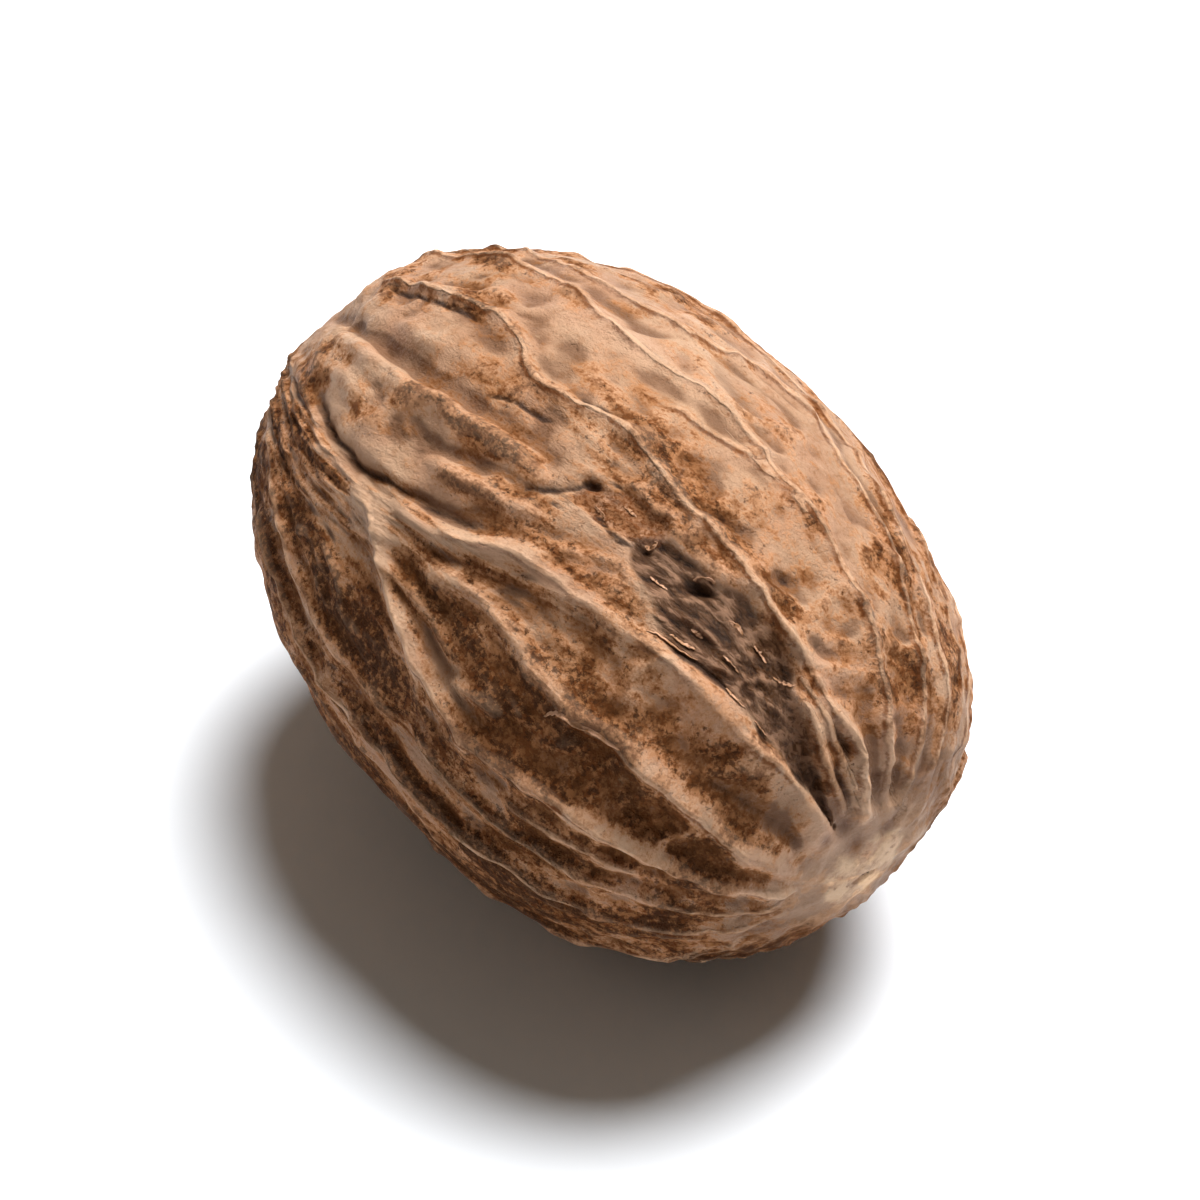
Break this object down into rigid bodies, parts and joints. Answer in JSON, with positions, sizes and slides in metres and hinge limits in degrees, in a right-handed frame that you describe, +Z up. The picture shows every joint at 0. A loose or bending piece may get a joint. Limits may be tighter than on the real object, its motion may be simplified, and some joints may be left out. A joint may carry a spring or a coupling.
{
  "type": "whole nutmeg",
  "caption": "Whole shelled nutmeg lying on its side, with branching raised veins, a sunken raphe furrow, a pale hilum at one end and a dimple at the other.",
  "frame": {"origin": "on the surface the nutmeg lies on, under the middle of its box", "axes": "+X from the chalaza to the hilum, along the seed; +Z up"},
  "size_m": [0.0278, 0.0202, 0.0196],
  "materials": {
    "seed_coat": "satin, dry and veined"
  },
  "bodies": {
    "root": {"nutmeg": "seed_coat"}
  },
  "joints": []
}
